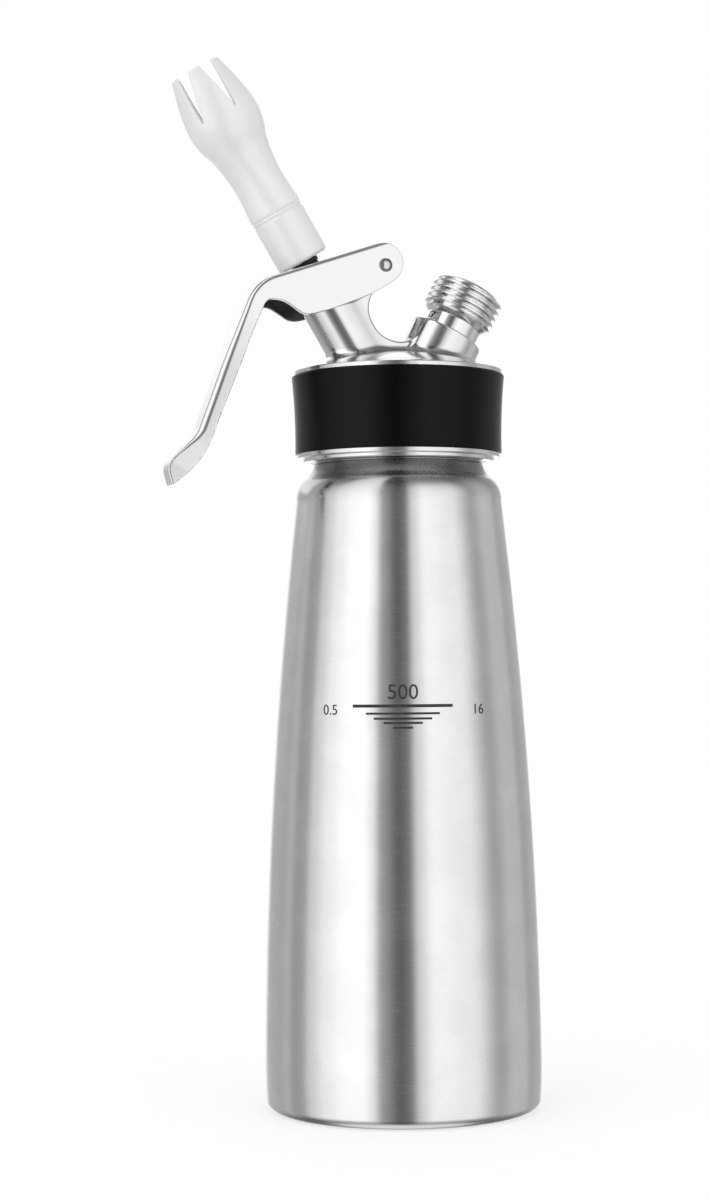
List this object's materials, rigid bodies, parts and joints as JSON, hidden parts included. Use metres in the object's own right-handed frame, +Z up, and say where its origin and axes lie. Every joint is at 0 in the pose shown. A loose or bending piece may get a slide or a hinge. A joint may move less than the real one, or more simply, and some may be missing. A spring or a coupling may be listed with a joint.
{
  "type": "whipped cream dispenser",
  "caption": "Stainless steel whipped cream dispenser: tapered bottle, screw-on head with squeeze lever, tilted valve with white decorator tip, and threaded charger inlet.",
  "frame": {"origin": "centre of the bottle's foot ring, on the surface it stands on", "axes": "+Z up along the bottle's axis; the lever and the decorator tip lean towards -X and the charger inlet towards +X; Y is the width"},
  "size_m": [0.1092, 0.08, 0.301],
  "materials": {
    "brushed_steel": "drawn and lightly brushed stainless steel",
    "polished_steel": "polished",
    "satin_steel": "satin pressed sheet",
    "turned_steel": "turned",
    "spring_steel": "drawn wire",
    "silicone": "matte black",
    "black_rubber": "matte",
    "grey_rubber": "matte",
    "white_plastic": "satin gloss",
    "white_nylon": "matte"
  },
  "bodies": {
    "bottle": {"bottle_shell": "brushed_steel", "neck_ring": "turned_steel"},
    "gasket": {"head_gasket": "grey_rubber"},
    "head": {"head_casting": "polished_steel", "grip_sleeve": "silicone", "charger_nipple": "polished_steel", "pin_holder": "turned_steel", "piercing_pin": "turned_steel", "inlet_seal": "black_rubber", "return_flap": "grey_rubber", "gland_ring": "black_rubber", "guide_bush": "white_nylon", "stem_spring": "spring_steel", "lever_pin": "turned_steel"},
    "lever": {"lever": "satin_steel"},
    "stem": {"valve_stem": "turned_steel", "valve_seal": "black_rubber", "seal_nut": "turned_steel", "lever_collar": "turned_steel"},
    "washer": {"tip_gasket": "black_rubber"},
    "tip": {"decorator_tip": "white_plastic", "tip_insert": "turned_steel"}
  },
  "joints": [
    {"name": "head_lift", "type": "slide", "parent": "bottle", "child": "gasket", "axis": [0, 0, 1], "range_m": [0, 0.015]},
    {"name": "head_turn", "type": "hinge", "parent": "gasket", "child": "head", "pos_m": [0, 0, 0.2], "axis": [0, 0, 1], "range_deg": [0, 1800]},
    {"name": "lever_press", "type": "hinge", "parent": "head", "child": "lever", "pos_m": [-0.00615, 0, 0.2417], "axis": [0, -1, 0], "range_deg": [0, 12.2], "stiffness_Nm_per_rad": 1, "springref_deg": -17.19},
    {"name": "stem_push", "type": "slide", "parent": "head", "child": "stem", "axis": [0.5075, 0, -0.8616], "range_m": [0, 0.00264], "deforming": ["stem_spring"]},
    {"name": "tip_lift", "type": "slide", "parent": "stem", "child": "washer", "axis": [-0.5075, 0, 0.8616], "range_m": [0, 0.008]},
    {"name": "tip_turn", "type": "hinge", "parent": "washer", "child": "tip", "pos_m": [-0.03045, 0, 0.2477], "axis": [-0.5075, 0, 0.8616], "range_deg": [0, 1440]}
  ],
  "couplings": [
    {"joint": "head_turn", "follows": "head_lift", "rad_per_m": 2094.4},
    {"joint": "lever_press", "follows": "stem_push", "rad_per_m": 80.645},
    {"joint": "tip_turn", "follows": "tip_lift", "rad_per_m": 3141.6}
  ]
}
